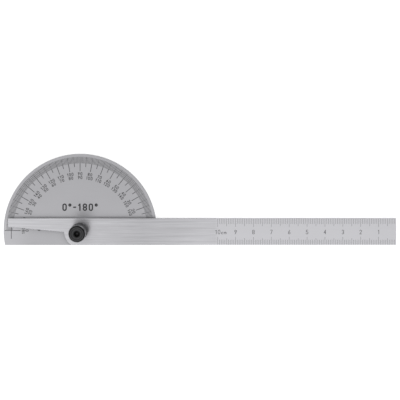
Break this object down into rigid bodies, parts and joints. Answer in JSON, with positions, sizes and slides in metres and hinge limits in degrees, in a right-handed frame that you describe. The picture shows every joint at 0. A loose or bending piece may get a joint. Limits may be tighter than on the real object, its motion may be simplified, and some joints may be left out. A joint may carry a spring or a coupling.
{
  "type": "swing blade protractor",
  "caption": "Flat steel protractor: a half-round graduated head, a swinging rule with a pointer end, and a knurled lock nut on the pivot.",
  "frame": {"origin": "on the pivot axis, in the plane of the head plate's flat back", "axes": "+X along the rule towards its tip, +Y from the pivot up over the graduated arc, +Z out of the graduated face along the pivot"},
  "size_m": [0.2202, 0.0512, 0.0111],
  "materials": {
    "head_steel": "satin stainless steel with a fine grain",
    "blade_steel": "satin stainless steel, brushed along its length and matte where it is graduated",
    "turned_steel": "plain turned steel",
    "black_oxide": "black oxide on turned and knurled steel",
    "mark_paint": "dark grey paint in the etched marks"
  },
  "bodies": {
    "head": {"head_plate": "head_steel", "pivot_stud": "black_oxide", "degree_graduations": "mark_paint", "degree_numerals": "mark_paint", "head_legend": "mark_paint"},
    "blade": {"swing_blade": "blade_steel", "rule_graduations": "mark_paint", "rule_numerals": "mark_paint", "wave_washer": "turned_steel"},
    "washer": {"flat_washer": "turned_steel"},
    "nut": {"lock_nut": "black_oxide"}
  },
  "joints": [
    {"name": "blade_swing", "type": "hinge", "parent": "head", "child": "blade", "pos_m": [0, 0, 0], "axis": [0, 0, -1], "range_deg": [0, 180]},
    {"name": "washer_lift", "type": "slide", "parent": "head", "child": "washer", "axis": [0, 0, 1], "range_m": [0, 0.0005]},
    {"name": "nut_turn", "type": "hinge", "parent": "washer", "child": "nut", "pos_m": [0, 0, 0], "axis": [0, 0, 1], "range_deg": [0, 360]}
  ],
  "couplings": [
    {"joint": "nut_turn", "follows": "washer_lift", "rad_per_m": 12566}
  ]
}
